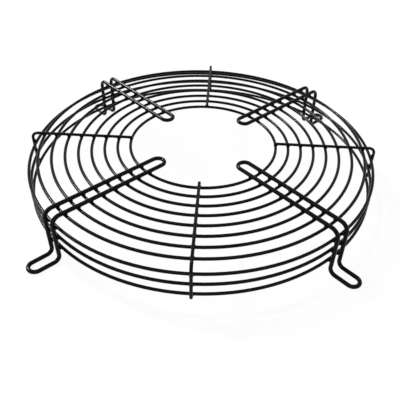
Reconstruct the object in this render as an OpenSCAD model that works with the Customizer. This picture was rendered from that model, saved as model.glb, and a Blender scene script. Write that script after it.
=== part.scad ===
// Wire fan guard: a basket of welded wire that covers one side of an axial fan.
// Eight concentric rings make the face and three stacked rings make the wall. Four hairpin legs of
// heavier wire and four single spokes lie on the face rings, bend down outside the wall rings and hold
// them all. Each leg is one closed loop: its inner end takes a motor screw, and its outer end is a foot
// that takes a fixing screw. The guard stands on its feet at z = 0, with the fan's axis along +Z.

/* [Wire] */
// Diameter of the wire in the face rings and the wall rings
ring_wire_d = 3; // [2:0.1:4]
// Diameter of the wire in the spokes
spoke_wire_d = 3; // [2:0.1:4]
// Diameter of the wire in the hairpin legs
leg_wire_d = 4; // [3:0.1:5]
// Gap between two wires at the crossing where they are welded
weld_gap = 0.05; // [0.02:0.01:0.2]

/* [Face rings] */
// Centre-line radius of the innermost face ring
inner_ring_r = 75; // [60:0.5:90]
// Distance from the outermost face ring to the start of the legs' shoulder bend
outer_ring_margin = 5; // [2:0.5:20]

/* [Wall rings] */
// Centre-line radius of the wall rings
wall_ring_r = 175; // [160:0.5:220]
// Distance from the legs' shoulder bend down to the top wall ring
top_wall_margin = 3; // [0.5:0.1:6]
// Distance from the legs' foot bend up to the lowest wall ring
low_wall_margin = 8; // [0.5:0.1:10]

/* [Hairpin legs] */
// Height of the guard, from under the feet to the top of the legs
guard_h = 53; // [48:0.5:80]
// Clear width between the two wires of a leg, where the screws pass
slot_w = 9; // [6:0.1:14]
// Distance from the innermost face ring in to the motor screws
motor_screw_reach = 15; // [0:0.5:25]
// Distance from the wall of the guard out to the fixing screws
fixing_screw_reach = 20.5; // [15:0.5:40]
// Centre-line radius of the bend at a leg's shoulder
shoulder_bend_r = 8; // [6:0.5:10]
// Centre-line radius of the bend at a leg's foot
foot_bend_r = 6; // [4:0.5:8]

/* [Spokes] */
// Centre-line radius of the bend in a spoke
spoke_bend_r = 6; // [4:0.5:8]
// How far the right, back and left spokes reach inside the innermost ring
spoke_reach = 1.5; // [1:0.5:20]
// How far the front spoke reaches inside the innermost ring
front_spoke_reach = 4; // [1:0.5:20]
// How far a spoke runs on below the lowest wall ring
spoke_tail = 1.5; // [0:0.5:6]

/* [Finish] */
// Colour of the coated wire
coat_color = "#141416"; // [#141416, #2b2d30, #8a8d90]

/* [Hidden] */

face_ring_count = 8;
wall_ring_count = 3;

// Facets round a wire, round a bend and round a ring
wire_facets = 32;
bend_facets = 96;
ring_facets = 240;

// Distance between the centre-lines of two wires at a weld
leg_weld_step = leg_wire_d / 2 + weld_gap + ring_wire_d / 2;
spoke_weld_step = spoke_wire_d / 2 + weld_gap + ring_wire_d / 2;

// Centre-line heights of the feet, the legs' runs, the face rings and the spokes
foot_z = leg_wire_d / 2;
leg_z = guard_h - leg_wire_d / 2;
face_z = leg_z - leg_weld_step;
spoke_z = face_z + spoke_weld_step;

// Centre-line radii of the legs' and the spokes' upright stretches, outside the wall rings
leg_r = wall_ring_r + leg_weld_step;
spoke_r = wall_ring_r + spoke_weld_step;

// A leg's bends: where the run ends, where the upright starts and ends, and where the foot starts
shoulder_r = leg_r - shoulder_bend_r;
shoulder_z = leg_z - shoulder_bend_r;
ankle_z = foot_z + foot_bend_r;
ankle_r = leg_r + foot_bend_r;

// Radii of the circles of motor screws and fixing screws
motor_screw_r = inner_ring_r - motor_screw_reach;
fixing_screw_r = leg_r + fixing_screw_reach;

// Half the distance between the centre-lines of a leg's two wires
leg_half_w = (slot_w + leg_wire_d) / 2;

// Spacing of the face rings and of the wall rings
outer_ring_r = shoulder_r - outer_ring_margin;
face_pitch = (outer_ring_r - inner_ring_r) / (face_ring_count - 1);
top_wall_z = shoulder_z - top_wall_margin;
low_wall_z = ankle_z + low_wall_margin;
wall_pitch = (top_wall_z - low_wall_z) / (wall_ring_count - 1);

// Angles of the spokes and the legs about the fan's axis, in degrees from +X towards +Y
angle_right = 0;
angle_back_right = 45;
angle_back = 90;
angle_back_left = 135;
angle_left = 180;
angle_front_left = 225;
angle_front = 270;
angle_front_right = 315;

// A straight wire from the origin along +X
module wire_out(wire_d, length) {
    rotate([0, 90, 0])
        cylinder(d = wire_d, h = length, $fn = wire_facets);
}

// A straight wire from the origin along +Z
module wire_up(wire_d, length) {
    cylinder(d = wire_d, h = length, $fn = wire_facets);
}

// A wire bent about the Z axis, from start_angle on through turn_angle
module bend(wire_d, bend_r, start_angle, turn_angle) {
    rotate([0, 0, start_angle])
        rotate_extrude(angle = turn_angle, $fn = bend_facets)
            translate([bend_r, 0])
                circle(d = wire_d, $fn = wire_facets);
}

// The same bend stood up in the XZ plane
module upright_bend(wire_d, bend_r, start_angle, turn_angle) {
    rotate([90, 0, 0])
        bend(wire_d, bend_r, start_angle, turn_angle);
}

// A closed ring of wire about the fan's axis
module ring(ring_r, z) {
    color(coat_color)
        translate([0, 0, z])
            rotate_extrude($fn = ring_facets)
                translate([ring_r, 0])
                    circle(d = ring_wire_d, $fn = wire_facets);
}

// Face rings are counted from the innermost out, from 1
module face_ring(index) {
    ring(inner_ring_r + (index - 1) * face_pitch, face_z);
}

// Wall rings are counted from the top down, from 1
module wall_ring(index) {
    ring(wall_ring_r, top_wall_z - (index - 1) * wall_pitch);
}

// A single wire over the face, bent down outside the wall, with a plain cut at each end
module spoke(angle, reach) {
    inner_end_r = inner_ring_r - reach;
    bend_start_r = spoke_r - spoke_bend_r;
    bend_end_z = spoke_z - spoke_bend_r;
    tail_z = low_wall_z - spoke_tail;
    color(coat_color)
        rotate([0, 0, angle]) {
            translate([inner_end_r, 0, spoke_z])
                wire_out(spoke_wire_d, bend_start_r - inner_end_r);
            translate([bend_start_r, 0, bend_end_z])
                upright_bend(spoke_wire_d, spoke_bend_r, 0, 90);
            translate([spoke_r, 0, tail_z])
                wire_up(spoke_wire_d, bend_end_z - tail_z);
        }
}

// One side of a hairpin leg: the run over the face, the shoulder, the upright, the ankle and the foot
module leg_side() {
    translate([motor_screw_r, 0, leg_z])
        wire_out(leg_wire_d, shoulder_r - motor_screw_r);
    translate([shoulder_r, 0, shoulder_z])
        upright_bend(leg_wire_d, shoulder_bend_r, 0, 90);
    translate([leg_r, 0, ankle_z])
        wire_up(leg_wire_d, shoulder_z - ankle_z);
    translate([ankle_r, 0, ankle_z])
        upright_bend(leg_wire_d, foot_bend_r, 180, 90);
    translate([ankle_r, 0, foot_z])
        wire_out(leg_wire_d, fixing_screw_r - ankle_r);
}

// A closed loop of wire: two equal sides joined by a U-end round each screw
module leg(angle) {
    color(coat_color)
        rotate([0, 0, angle]) {
            for (side = [-1, 1])
                translate([0, side * leg_half_w, 0])
                    leg_side();
            translate([motor_screw_r, 0, leg_z])
                bend(leg_wire_d, leg_half_w, 90, 180);
            translate([fixing_screw_r, 0, foot_z])
                bend(leg_wire_d, leg_half_w, 270, 180);
        }
}

face_ring(1);  // face_ring_1
face_ring(2);  // face_ring_2
face_ring(3);  // face_ring_3
face_ring(4);  // face_ring_4
face_ring(5);  // face_ring_5
face_ring(6);  // face_ring_6
face_ring(7);  // face_ring_7
face_ring(8);  // face_ring_8
wall_ring(1);  // wall_ring_1
wall_ring(2);  // wall_ring_2
wall_ring(3);  // wall_ring_3
spoke(angle_front, front_spoke_reach);  // spoke_front
spoke(angle_right, spoke_reach);  // spoke_right
spoke(angle_back, spoke_reach);  // spoke_back
spoke(angle_left, spoke_reach);  // spoke_left
leg(angle_front_left);  // leg_front_left
leg(angle_front_right);  // leg_front_right
leg(angle_back_left);  // leg_back_left
leg(angle_back_right);  // leg_back_right
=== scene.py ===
"""Looks of the wire fan guard: a powder-coated finish on every wire, the weld nuggets where wires
cross, the butt welds that close each ring and leg, the rounded coating on the cut ends, and the
studio with its light and camera. Lengths are in metres, in the part's own frame, and angles in degrees."""

import math

import bpy
import numpy as np
from mathutils import Matrix, Vector


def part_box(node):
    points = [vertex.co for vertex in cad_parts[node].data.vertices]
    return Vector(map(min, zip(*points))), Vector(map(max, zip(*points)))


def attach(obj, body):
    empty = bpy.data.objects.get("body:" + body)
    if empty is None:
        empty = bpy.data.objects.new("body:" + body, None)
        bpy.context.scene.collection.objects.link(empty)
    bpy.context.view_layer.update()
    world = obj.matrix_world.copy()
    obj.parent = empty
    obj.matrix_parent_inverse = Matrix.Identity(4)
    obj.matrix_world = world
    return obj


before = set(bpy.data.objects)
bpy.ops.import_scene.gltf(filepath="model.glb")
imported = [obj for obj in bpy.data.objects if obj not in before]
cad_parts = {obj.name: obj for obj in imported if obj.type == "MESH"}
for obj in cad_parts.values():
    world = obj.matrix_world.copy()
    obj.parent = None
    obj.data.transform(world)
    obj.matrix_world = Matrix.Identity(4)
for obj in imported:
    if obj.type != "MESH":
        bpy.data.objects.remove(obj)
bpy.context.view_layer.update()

MM = 0.001

# The wires, with the angle about the fan's axis that each spoke and leg points along
FACE_RINGS = [f"face_ring_{i}" for i in range(1, 9)]
WALL_RINGS = [f"wall_ring_{i}" for i in range(1, 4)]
SPOKES = {"spoke_right": 0, "spoke_back": 90, "spoke_left": 180, "spoke_front": 270}
LEGS = {"leg_back_right": 45, "leg_back_left": 135, "leg_front_left": 225, "leg_front_right": 315}


def thickness(node):
    """The height of a ring's box, which is its wire's diameter."""
    low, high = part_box(node)
    return high.z - low.z


def ring_place(node):
    """A ring's centre-line radius and height."""
    low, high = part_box(node)
    return high.x - thickness(node) / 2, (low.z + high.z) / 2


# Sizes of the guard: the leg's wire and slot as built, the rest read back from the solids
ring_wire = thickness("face_ring_1")
spoke_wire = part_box("spoke_right")[1].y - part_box("spoke_right")[0].y
leg_wire = 4 * MM
slot_width = 9 * MM
leg_half_width = (slot_width + leg_wire) / 2
leg_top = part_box("leg_front_left")[1].z
spoke_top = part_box("spoke_right")[1].z
inner_radius, face_height = ring_place("face_ring_1")
wall_radius = ring_place("wall_ring_1")[0]


# ---------------------------------------------------------------- meshes

POLE_REACH = 1e-6  # points closer than this are one point


def turn(points, degrees):
    """Points turned about the fan's axis."""
    a = math.radians(degrees)
    x, y, z = points[..., 0], points[..., 1], points[..., 2]
    return np.stack([x * math.cos(a) - y * math.sin(a), x * math.sin(a) + y * math.cos(a), z], -1)


def around(sides):
    """Evenly spaced angles round a row of points, in radians."""
    return np.arange(sides) * 2 * np.pi / sides


def grid_faces(rows, columns, offset):
    """Quads over a grid of rows by columns that closes on itself round each row. Offset is the number
    of the grid's first point."""
    r, c = np.meshgrid(np.arange(rows - 1), np.arange(columns), indexing="ij")
    n = (c + 1) % columns
    a = r * columns + c
    b = r * columns + n
    quads = np.stack([a, b, b + columns, a + columns], -1).reshape(-1, 4)
    return quads + offset


def closed_tubes(name, tubes, material):
    """One object from grids of points, each a closed surface: every row is a loop, and the first and
    last rows are drawn together into a pole."""
    points, faces, offset = [], [], 0
    for grid in tubes:
        rows, columns, _ = grid.shape
        points.append(grid.reshape(-1, 3))
        faces.append(grid_faces(rows, columns, offset))
        offset += rows * columns
    vertices = np.concatenate(points)
    quads = np.concatenate(faces)
    mesh = bpy.data.meshes.new(name)
    mesh.from_pydata(vertices.tolist(), [], quads.tolist())
    mesh.polygons.foreach_set("use_smooth", np.ones(len(quads), bool))
    mesh.update()
    piece = bpy.data.objects.new(name, mesh)
    bpy.context.scene.collection.objects.link(piece)
    bpy.ops.object.select_all(action="DESELECT")
    piece.select_set(True)
    bpy.context.view_layer.objects.active = piece
    bpy.ops.object.mode_set(mode="EDIT")
    bpy.ops.mesh.select_all(action="SELECT")
    bpy.ops.mesh.remove_doubles(threshold=POLE_REACH)
    bpy.ops.mesh.normals_make_consistent(inside=False)
    bpy.ops.object.mode_set(mode="OBJECT")
    mesh.materials.append(material)
    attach(piece, "root")


# ---------------------------------------------------------------- pieces

# How finely each surface is divided
LENS_ROWS, LENS_SIDES = 6, 12
SEAM_ROWS, DOME_ROWS, WIRE_SIDES = 11, 7, 20


def lens(centre, along, up, half_width, half_height, lobes):
    """A weld nugget: a lens whose half width grows by the share lobes towards the four pockets between
    two crossing wires. With p from pole to pole and q round the lens, the width is
    half_width * sin(p) * (1 + lobes * sin(2q)^2) and the height is half_height * cos(p)."""
    p, q = np.meshgrid(np.linspace(0, np.pi, LENS_ROWS), around(LENS_SIDES), indexing="ij")
    reach = half_width * np.sin(p) * (1 + lobes * np.sin(2 * q) ** 2)
    along, up = np.array(along, float), np.array(up, float)
    across = np.cross(up, along)
    return (np.array(centre) + (reach * np.cos(q))[..., None] * along
            + (reach * np.sin(q))[..., None] * across
            + (half_height * np.cos(p))[..., None] * up)


def collar(path, radius, proud):
    """A butt-weld collar round a wire: a tube along path. With s from 0 to 1 along it, its radius is
    radius * (1 - sunk) + (proud + radius * sunk) * sin(pi * s)^fullness, so it swells from just inside
    the wire to proud outside it. The ends are drawn into the centre-line."""
    sunk, fullness = 0.02, 0.7
    path = np.asarray(path, float)
    tangent = np.gradient(path, axis=0)
    tangent /= np.linalg.norm(tangent, axis=1, keepdims=True)
    side = np.cross(tangent, [0.0, 0.0, 1.0])
    side /= np.linalg.norm(side, axis=1, keepdims=True)
    rise = np.cross(side, tangent)
    s = np.linspace(0, 1, len(path))
    swell = radius * (1 - sunk) + (proud + radius * sunk) * np.sin(np.pi * s) ** fullness
    swell[[0, -1]] = 0
    q = around(WIRE_SIDES)[None, :, None]
    return path[:, None] + swell[:, None, None] * (np.cos(q) * side[:, None] + np.sin(q) * rise[:, None])


def end_coat(centre, outward, radius, height):
    """The thick rounded coating on a cut end: a flat-backed dome, radius * cos(p)^fullness wide and
    height * sin(p) high, with p from rim to tip. It starts its own height back along the wire, a
    little narrower, and is closed behind."""
    fullness, back_width = 0.6, radius * 0.96
    p = np.linspace(0, np.pi / 2, DOME_ROWS)
    width = np.concatenate([[0, back_width], radius * np.cos(p) ** fullness])[:, None, None]
    rise = np.concatenate([[-height, -height], height * np.sin(p)])[:, None, None]
    outward = np.array(outward, float)
    upright = outward[2] != 0
    across = np.array([1.0, 0, 0]) if upright else np.array([-outward[1], outward[0], 0.0])
    third = np.cross(outward, across)
    q = around(WIRE_SIDES)[None, :, None]
    return np.array(centre) + rise * outward + width * (np.cos(q) * across + np.sin(q) * third)


def crossings():
    """Every place where a ring passes under or behind a leg's wire or a spoke, in the frame of a leg or
    spoke that points along +X: yields the centre of the weld, the direction of the wire, the direction
    from ring to wire, and the angle to turn it by."""
    for carriers, sides, wire, top in (
        (LEGS, (-leg_half_width, leg_half_width), leg_wire, leg_top),
        (SPOKES, (0,), spoke_wire, spoke_top),
    ):
        underside = top - wire
        for angle in carriers.values():
            for y in sides:
                for node in FACE_RINGS:
                    radius, height = ring_place(node)
                    x = math.sqrt(radius ** 2 - y ** 2)
                    yield (x, y, (underside + height + ring_wire / 2) / 2), (1, 0, 0), (0, 0, 1), angle
                for node in WALL_RINGS:
                    radius, height = ring_place(node)
                    x = math.sqrt(radius ** 2 - y ** 2) + ring_wire / 2
                    yield (x, y, height), (0, 0, 1), (1, 0, 0), angle


def weld_nuggets(material):
    """One lens in each crossing, all in one piece."""
    half_width, half_height, lobes = 2.0 * MM, 0.72 * MM, 0.28
    lenses = [turn(lens(centre, along, up, half_width, half_height, lobes), angle)
              for centre, along, up, angle in crossings()]
    closed_tubes("weld_nuggets", lenses, material)


def ring_seams(material):
    """The butt weld of each ring. The seams step round the guard from one ring to the next."""
    length, proud, first, step = 3.2 * MM, 0.10 * MM, 68.0, 2.4
    seams = []
    for i, node in enumerate(FACE_RINGS + WALL_RINGS):
        radius, height = ring_place(node)
        middle = math.radians(first + step * i)
        a = middle + np.linspace(-0.5, 0.5, SEAM_ROWS) * length / radius
        path = np.stack([radius * np.cos(a), radius * np.sin(a), np.full(SEAM_ROWS, height)], -1)
        seams.append(collar(path, ring_wire / 2, proud))
    closed_tubes("ring_butt_welds", seams, material)


def leg_seams(material):
    """The butt weld that closes each leg's loop, on one wire of its run, at a share of the way from the
    innermost ring to the wall."""
    length, proud, share = 3.6 * MM, 0.12 * MM, 0.36
    x = inner_radius + share * (wall_radius - inner_radius) + np.linspace(-0.5, 0.5, SEAM_ROWS) * length
    y = np.full(SEAM_ROWS, leg_half_width)
    z = np.full(SEAM_ROWS, leg_top - leg_wire / 2)
    seam = collar(np.stack([x, y, z], -1), leg_wire / 2, proud)
    closed_tubes("leg_butt_welds", [turn(seam, angle) for angle in LEGS.values()], material)


def spoke_ends(material):
    """Rounded coating on both cut ends of each spoke."""
    coat, height = 0.04 * MM, 0.45 * MM
    coats = []
    for node, angle in SPOKES.items():
        low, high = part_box(node)
        corners = turn(np.array([[low.x, low.y, 0], [high.x, high.y, 0]]), -angle)
        inner_end, outer_face = corners[:, 0].min(), corners[:, 0].max()
        for centre, outward in (
            ((inner_end, 0, spoke_top - spoke_wire / 2), (-1, 0, 0)),
            ((outer_face - spoke_wire / 2, 0, low.z), (0, 0, -1)),
        ):
            coats.append(turn(end_coat(centre, outward, spoke_wire / 2 + coat, height), angle))
    closed_tubes("spoke_end_coats", coats, material)


# ---------------------------------------------------------------- materials

def coat_texture():
    """Shared texture of the baked coat: a fine orange peel, slow waves and blotches in thickness, and
    sparse dust nibs. It puts out a colour, a roughness and a height."""
    group = bpy.data.node_groups.new("coat_texture", "ShaderNodeTree")
    face = group.interface
    for name, kind, value in (
        ("Colour", "NodeSocketColor", (0.01, 0.01, 0.01, 1)),
        ("Thin colour", "NodeSocketColor", (0.03, 0.03, 0.03, 1)),
        ("Roughness low", "NodeSocketFloat", 0.2),
        ("Roughness high", "NodeSocketFloat", 0.35),
        ("Peel scale", "NodeSocketFloat", 900.0),
    ):
        face.new_socket(name, in_out="INPUT", socket_type=kind).default_value = value
    face.new_socket("Colour", in_out="OUTPUT", socket_type="NodeSocketColor")
    face.new_socket("Roughness", in_out="OUTPUT", socket_type="NodeSocketFloat")
    face.new_socket("Height", in_out="OUTPUT", socket_type="NodeSocketFloat")
    nodes, links = group.nodes, group.links
    given, put = nodes.new("NodeGroupInput"), nodes.new("NodeGroupOutput")
    place = nodes.new("ShaderNodeTexCoord")

    def noise(scale, detail):
        """Even noise of the given scale, or of the caller's peel scale where scale is None."""
        n = nodes.new("ShaderNodeTexNoise")
        n.inputs["Detail"].default_value = detail
        links.new(place.outputs["Object"], n.inputs["Vector"])
        if scale is None:
            links.new(given.outputs["Peel scale"], n.inputs["Scale"])
        else:
            n.inputs["Scale"].default_value = scale
        return n.outputs["Fac"]

    def spread(value, low, high, to_low, to_high):
        """The value, moved from the range low to high onto the range to_low to to_high."""
        m = nodes.new("ShaderNodeMapRange")
        m.inputs["From Min"].default_value = low
        m.inputs["From Max"].default_value = high
        for socket, target in (("To Min", to_low), ("To Max", to_high)):
            if isinstance(target, float):
                m.inputs[socket].default_value = target
            else:
                links.new(target, m.inputs[socket])
        links.new(value, m.inputs["Value"])
        return m.outputs["Result"]

    def combine(operation, a, b):
        """Arithmetic on two sockets, or on a socket and a plain number."""
        m = nodes.new("ShaderNodeMath")
        m.operation = operation
        for socket, value in zip(m.inputs, (a, b)):
            if isinstance(value, float):
                socket.default_value = value
            else:
                links.new(value, socket)
        return m.outputs["Value"]

    peel = noise(scale=None, detail=3.0)
    waves = noise(scale=110.0, detail=2.0)
    blotches = noise(scale=34.0, detail=4.0)
    nib_scale, nib_reach = 260.0, 0.16
    peel_in_roughness, waves_in_height, nibs_in_height = 0.35, 1.4, 0.5
    nibs = nodes.new("ShaderNodeTexVoronoi")
    nibs.inputs["Scale"].default_value = nib_scale
    links.new(place.outputs["Object"], nibs.inputs["Vector"])
    nib = spread(nibs.outputs["Distance"], low=0.0, high=nib_reach, to_low=1.0, to_high=0.0)

    thin = spread(combine("ADD", waves, blotches), low=0.85, high=1.3, to_low=0.0, to_high=1.0)
    tint = nodes.new("ShaderNodeMix")
    tint.data_type = "RGBA"
    links.new(thin, tint.inputs["Factor"])
    links.new(given.outputs["Colour"], tint.inputs["A"])
    links.new(given.outputs["Thin colour"], tint.inputs["B"])
    links.new(tint.outputs["Result"], put.inputs["Colour"])

    uneven = combine("ADD", combine("MULTIPLY", peel, peel_in_roughness), blotches)
    rough = spread(uneven, low=0.4, high=1.0,
                   to_low=given.outputs["Roughness low"], to_high=given.outputs["Roughness high"])
    links.new(rough, put.inputs["Roughness"])
    smooth = combine("ADD", peel, combine("MULTIPLY", waves, waves_in_height))
    height = combine("ADD", smooth, combine("MULTIPLY", nib, nibs_in_height))
    links.new(height, put.inputs["Height"])
    return group


def coated_wire(name, texture, colour, thin_colour, rough, peel_scale, bump, specular):
    """A black baked coat over steel wire. The two colours are those of a thick and a thin place, rough
    holds the lowest and highest roughness, and bump is the depth of the relief."""
    material = bpy.data.materials.new(name)
    material.use_nodes = True
    nodes, links = material.node_tree.nodes, material.node_tree.links
    shader = nodes["Principled BSDF"]
    shader.inputs["Metallic"].default_value = 0.0
    shader.inputs["Specular IOR Level"].default_value = specular
    coat = nodes.new("ShaderNodeGroup")
    coat.node_tree = texture
    coat.inputs["Colour"].default_value = (*colour, 1)
    coat.inputs["Thin colour"].default_value = (*thin_colour, 1)
    coat.inputs["Roughness low"].default_value = rough[0]
    coat.inputs["Roughness high"].default_value = rough[1]
    coat.inputs["Peel scale"].default_value = peel_scale
    relief = nodes.new("ShaderNodeBump")
    relief.inputs["Strength"].default_value = 1.0
    relief.inputs["Distance"].default_value = bump
    links.new(coat.outputs["Colour"], shader.inputs["Base Color"])
    links.new(coat.outputs["Roughness"], shader.inputs["Roughness"])
    links.new(coat.outputs["Height"], relief.inputs["Height"])
    links.new(relief.outputs["Normal"], shader.inputs["Normal"])
    return material


def seen_white(nodes, links, plain, strength, share):
    """Mixes a shader with white light of the given strength, by the given share, where the camera, a
    reflection or a ray through clear material sees it."""
    path = nodes.new("ShaderNodeLightPath")
    white = nodes.new("ShaderNodeEmission")
    white.inputs["Strength"].default_value = strength
    seen = path.outputs["Is Camera Ray"]
    for ray in ("Is Glossy Ray", "Is Transmission Ray"):
        either = nodes.new("ShaderNodeMath")
        either.operation = "MAXIMUM"
        links.new(seen, either.inputs[0])
        links.new(path.outputs[ray], either.inputs[1])
        seen = either.outputs["Value"]
    amount = nodes.new("ShaderNodeMath")
    amount.operation = "MULTIPLY"
    amount.inputs[1].default_value = share
    links.new(seen, amount.inputs[0])
    mix = nodes.new("ShaderNodeMixShader")
    links.new(amount.outputs["Value"], mix.inputs["Fac"])
    links.new(plain, mix.inputs[1])
    links.new(white.outputs["Emission"], mix.inputs[2])
    return mix.outputs["Shader"]


# ---------------------------------------------------------------- studio

FLOOR_GLOW, FLOOR_SHARE = 1.02, 0.93  # white light of the floor, and its share against the lit matte
SKY_LIGHT, SKY_SEEN = 0.3, 1.0        # the studio's light on the guard, and how bright it is seen


def floor():
    """A white floor that reads as white and keeps a faint shadow of the guard."""
    half, grey, roughness = 4.0, 0.82, 0.9
    corners = [(-half, -half, 0), (half, -half, 0), (half, half, 0), (-half, half, 0)]
    mesh = bpy.data.meshes.new("floor")
    mesh.from_pydata(corners, [], [(0, 1, 2, 3)])
    piece = bpy.data.objects.new("floor", mesh)
    bpy.context.scene.collection.objects.link(piece)
    material = bpy.data.materials.new("floor_white")
    material.use_nodes = True
    nodes, links = material.node_tree.nodes, material.node_tree.links
    matte = nodes["Principled BSDF"]
    matte.inputs["Base Color"].default_value = (grey, grey, grey, 1)
    matte.inputs["Roughness"].default_value = roughness
    matte.inputs["Specular IOR Level"].default_value = 0.0
    shader = seen_white(nodes, links, matte.outputs["BSDF"], FLOOR_GLOW, FLOOR_SHARE)
    links.new(shader, nodes["Material Output"].inputs["Surface"])
    mesh.materials.append(material)


def sky():
    """An even white studio round the guard."""
    world = bpy.data.worlds.new("studio")
    bpy.context.scene.world = world
    world.use_nodes = True
    nodes, links = world.node_tree.nodes, world.node_tree.links
    plain = nodes["Background"]
    plain.inputs["Color"].default_value = (1, 1, 1, 1)
    plain.inputs["Strength"].default_value = SKY_LIGHT
    shader = seen_white(nodes, links, plain.outputs["Background"], SKY_SEEN, share=1.0)
    links.new(shader, nodes["World Output"].inputs["Surface"])


def lamp(name, azimuth, elevation, spread, strength):
    """A far softbox: even light from one direction. Spread is how wide the box looks from the guard."""
    a, e = math.radians(azimuth), math.radians(elevation)
    towards = Vector((math.cos(e) * math.cos(a), math.cos(e) * math.sin(a), math.sin(e)))
    data = bpy.data.lights.new(name, "SUN")
    data.angle = math.radians(spread)
    data.energy = strength
    box = bpy.data.objects.new(name, data)
    turned = towards.to_track_quat("Z", "Y").to_matrix().to_4x4()
    box.matrix_world = Matrix.Translation(towards) @ turned
    bpy.context.scene.collection.objects.link(box)


def camera():
    """A camera above the front of the guard, aimed at a point on the face near the front spoke. The
    sensor and the focal length are in millimetres."""
    aim = Vector((0.01995, -0.09120, face_height))
    azimuth, elevation, roll, distance = -0.01, 39.85, 2.664, 0.46798
    sensor_width, focal_length, shift = 36.0, 46.5147, -0.05
    nearest, farthest = 0.01, 50
    data = bpy.data.cameras.new("camera")
    data.sensor_width = sensor_width
    data.lens = focal_length
    data.shift_x = shift
    data.clip_start = nearest
    data.clip_end = farthest
    eye = bpy.data.objects.new("camera", data)
    eye.matrix_world = (Matrix.Rotation(math.radians(azimuth), 4, "Z")
                        @ Matrix.Translation(aim)
                        @ Matrix.Rotation(math.radians(90 - elevation), 4, "X")
                        @ Matrix.Rotation(math.radians(roll), 4, "Z")
                        @ Matrix.Translation((0, 0, distance)))
    bpy.context.scene.collection.objects.link(eye)
    bpy.context.scene.camera = eye


# ---------------------------------------------------------------- the guard in its studio

texture = coat_texture()
wire_coat = coated_wire("wire_coat", texture, colour=(0.003, 0.003, 0.0034),
                        thin_colour=(0.007, 0.006, 0.0055), rough=(0.15, 0.20),
                        peel_scale=900.0, bump=0.0012 * MM, specular=0.08)
weld_coat = coated_wire("weld_coat", texture, colour=(0.004, 0.004, 0.0042),
                        thin_colour=(0.010, 0.008, 0.0075), rough=(0.24, 0.38),
                        peel_scale=1400.0, bump=0.02 * MM, specular=0.08)
for node in FACE_RINGS + WALL_RINGS + list(SPOKES) + list(LEGS):
    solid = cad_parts[node]
    solid.data.materials.clear()
    solid.data.materials.append(wire_coat)

weld_nuggets(weld_coat)
ring_seams(weld_coat)
leg_seams(weld_coat)
spoke_ends(wire_coat)

floor()
sky()
lamp("key", azimuth=143, elevation=42, spread=10, strength=3.6)
camera()
bpy.context.scene.view_settings.view_transform = "Standard"
